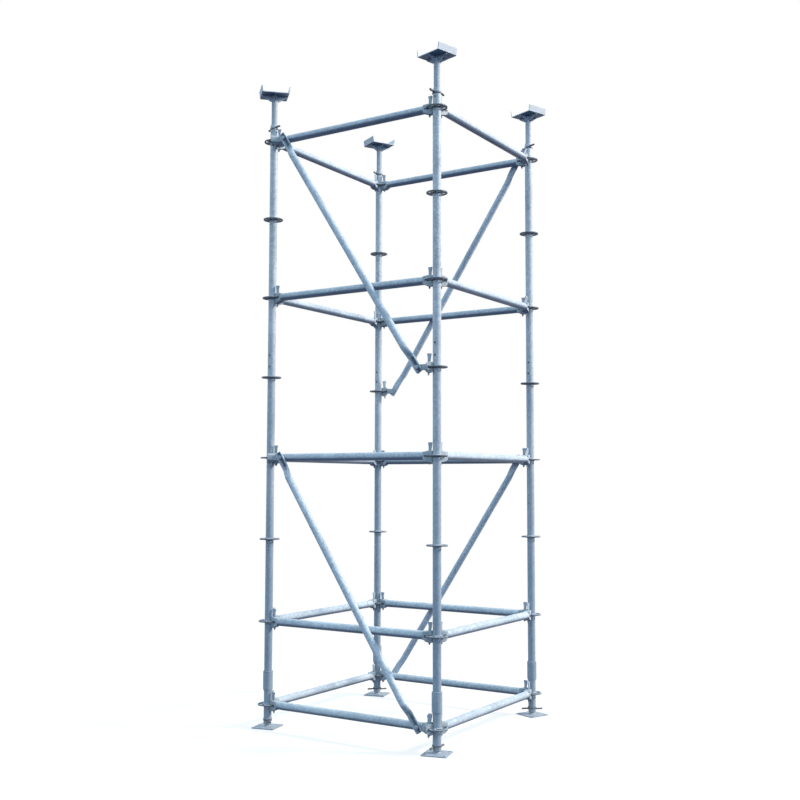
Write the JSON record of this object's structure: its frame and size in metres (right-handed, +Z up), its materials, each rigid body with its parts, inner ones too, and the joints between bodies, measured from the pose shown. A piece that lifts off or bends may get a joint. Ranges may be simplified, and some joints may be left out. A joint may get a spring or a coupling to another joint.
{
  "type": "ring lock scaffold tower",
  "caption": "Square shoring tower of ring-plate standards, wedge-headed ledgers and diagonal braces on screw-jack base plates, with adjustable U-heads on top.",
  "frame": {"origin": "centre of the tower's footprint on the ground, at the undersides of the base plates", "axes": "+Z up along the legs; +X to the right side, along the front ledgers; -Y towards the front, the side with the braces that fall to the right"},
  "size_m": [1.4276, 1.4323, 3.98],
  "materials": {
    "galvanised_tube": "hot-dip galvanised, satin",
    "ledger_tube": "hot-dip galvanised, satin",
    "brace_tube": "hot-dip galvanised, satin",
    "cast_head": "galvanised casting, matt",
    "forged_ring": "galvanised forging, satin",
    "wedge_steel": "galvanised, worn edges",
    "spindle_steel": "galvanised thread, satin",
    "cast_nut": "galvanised casting, darker",
    "plate_steel": "galvanised plate, satin"
  },
  "bodies": {
    "tower": {"standard_lower_front_right": "galvanised_tube", "standard_lower_front_left": "galvanised_tube", "standard_lower_back_right": "galvanised_tube", "standard_lower_back_left": "galvanised_tube", "standard_upper_front_right": "galvanised_tube", "standard_upper_front_left": "galvanised_tube", "standard_upper_back_right": "galvanised_tube", "standard_upper_back_left": "galvanised_tube", "spigots": "galvanised_tube", "ring_plates_front_right": "forged_ring", "ring_plates_front_left": "forged_ring", "ring_plates_back_right": "forged_ring", "ring_plates_back_left": "forged_ring", "base_collar_front_right": "galvanised_tube", "base_collar_front_left": "galvanised_tube", "base_collar_back_right": "galvanised_tube", "base_collar_back_left": "galvanised_tube", "ledger_tubes_level_1": "ledger_tube", "ledger_tubes_level_2": "ledger_tube", "ledger_tubes_level_4": "ledger_tube", "ledger_tubes_level_6": "ledger_tube", "ledger_tubes_level_8": "ledger_tube", "ledger_heads_level_1": "cast_head", "ledger_heads_level_2": "cast_head", "ledger_heads_level_4": "cast_head", "ledger_heads_level_6": "cast_head", "ledger_heads_level_8": "cast_head", "ledger_wedges": "wedge_steel", "brace_tubes_front": "brace_tube", "brace_tubes_back": "brace_tube", "brace_heads": "cast_head", "brace_wedges": "wedge_steel", "brace_rivets": "wedge_steel"},
    "base_jack_front_right": {"base_plate_front_right": "plate_steel", "base_spindle_front_right": "spindle_steel"},
    "base_nut_body_front_right": {"base_nut_front_right": "cast_nut"},
    "head_jack_front_right": {"u_head_front_right": "plate_steel", "head_spindle_front_right": "spindle_steel"},
    "head_nut_body_front_right": {"head_nut_front_right": "cast_nut"},
    "base_jack_front_left": {"base_plate_front_left": "plate_steel", "base_spindle_front_left": "spindle_steel"},
    "base_nut_body_front_left": {"base_nut_front_left": "cast_nut"},
    "head_jack_front_left": {"u_head_front_left": "plate_steel", "head_spindle_front_left": "spindle_steel"},
    "head_nut_body_front_left": {"head_nut_front_left": "cast_nut"},
    "base_jack_back_right": {"base_plate_back_right": "plate_steel", "base_spindle_back_right": "spindle_steel"},
    "base_nut_body_back_right": {"base_nut_back_right": "cast_nut"},
    "head_jack_back_right": {"u_head_back_right": "plate_steel", "head_spindle_back_right": "spindle_steel"},
    "head_nut_body_back_right": {"head_nut_back_right": "cast_nut"},
    "base_jack_back_left": {"base_plate_back_left": "plate_steel", "base_spindle_back_left": "spindle_steel"},
    "base_nut_body_back_left": {"base_nut_back_left": "cast_nut"},
    "head_jack_back_left": {"u_head_back_left": "plate_steel", "head_spindle_back_left": "spindle_steel"},
    "head_nut_body_back_left": {"head_nut_back_left": "cast_nut"}
  },
  "joints": [
    {"name": "base_nut_turn_front_right", "type": "hinge", "parent": "tower", "child": "base_nut_body_front_right", "pos_m": [0.6, -0.6, 0.035], "axis": [0, 0, 1], "range_deg": [0, 11250]},
    {"name": "base_jack_travel_front_right", "type": "slide", "parent": "tower", "child": "base_jack_front_right", "axis": [0, 0, 1], "range_m": [-0.25, 0]},
    {"name": "head_nut_turn_front_right", "type": "hinge", "parent": "tower", "child": "head_nut_body_front_right", "pos_m": [0.6, -0.6, 3.733], "axis": [0, 0, 1], "range_deg": [-6300, 6300]},
    {"name": "head_jack_travel_front_right", "type": "slide", "parent": "tower", "child": "head_jack_front_right", "axis": [0, 0, 1], "range_m": [-0.14, 0.14]},
    {"name": "base_nut_turn_front_left", "type": "hinge", "parent": "tower", "child": "base_nut_body_front_left", "pos_m": [-0.6, -0.6, 0.035], "axis": [0, 0, 1], "range_deg": [0, 11250]},
    {"name": "base_jack_travel_front_left", "type": "slide", "parent": "tower", "child": "base_jack_front_left", "axis": [0, 0, 1], "range_m": [-0.25, 0]},
    {"name": "head_nut_turn_front_left", "type": "hinge", "parent": "tower", "child": "head_nut_body_front_left", "pos_m": [-0.6, -0.6, 3.733], "axis": [0, 0, 1], "range_deg": [-6300, 6300]},
    {"name": "head_jack_travel_front_left", "type": "slide", "parent": "tower", "child": "head_jack_front_left", "axis": [0, 0, 1], "range_m": [-0.14, 0.14]},
    {"name": "base_nut_turn_back_right", "type": "hinge", "parent": "tower", "child": "base_nut_body_back_right", "pos_m": [0.6, 0.6, 0.035], "axis": [0, 0, 1], "range_deg": [0, 11250]},
    {"name": "base_jack_travel_back_right", "type": "slide", "parent": "tower", "child": "base_jack_back_right", "axis": [0, 0, 1], "range_m": [-0.25, 0]},
    {"name": "head_nut_turn_back_right", "type": "hinge", "parent": "tower", "child": "head_nut_body_back_right", "pos_m": [0.6, 0.6, 3.733], "axis": [0, 0, 1], "range_deg": [-6300, 6300]},
    {"name": "head_jack_travel_back_right", "type": "slide", "parent": "tower", "child": "head_jack_back_right", "axis": [0, 0, 1], "range_m": [-0.14, 0.14]},
    {"name": "base_nut_turn_back_left", "type": "hinge", "parent": "tower", "child": "base_nut_body_back_left", "pos_m": [-0.6, 0.6, 0.035], "axis": [0, 0, 1], "range_deg": [0, 11250]},
    {"name": "base_jack_travel_back_left", "type": "slide", "parent": "tower", "child": "base_jack_back_left", "axis": [0, 0, 1], "range_m": [-0.25, 0]},
    {"name": "head_nut_turn_back_left", "type": "hinge", "parent": "tower", "child": "head_nut_body_back_left", "pos_m": [-0.6, 0.6, 3.733], "axis": [0, 0, 1], "range_deg": [-6300, 6300]},
    {"name": "head_jack_travel_back_left", "type": "slide", "parent": "tower", "child": "head_jack_back_left", "axis": [0, 0, 1], "range_m": [-0.14, 0.14]}
  ],
  "couplings": [
    {"joint": "base_nut_turn_front_right", "follows": "base_jack_travel_front_right", "rad_per_m": -785.39},
    {"joint": "head_nut_turn_front_right", "follows": "head_jack_travel_front_right", "rad_per_m": -785.39},
    {"joint": "base_nut_turn_front_left", "follows": "base_jack_travel_front_left", "rad_per_m": -785.39},
    {"joint": "head_nut_turn_front_left", "follows": "head_jack_travel_front_left", "rad_per_m": -785.39},
    {"joint": "base_nut_turn_back_right", "follows": "base_jack_travel_back_right", "rad_per_m": -785.39},
    {"joint": "head_nut_turn_back_right", "follows": "head_jack_travel_back_right", "rad_per_m": -785.39},
    {"joint": "base_nut_turn_back_left", "follows": "base_jack_travel_back_left", "rad_per_m": -785.39},
    {"joint": "head_nut_turn_back_left", "follows": "head_jack_travel_back_left", "rad_per_m": -785.39}
  ]
}
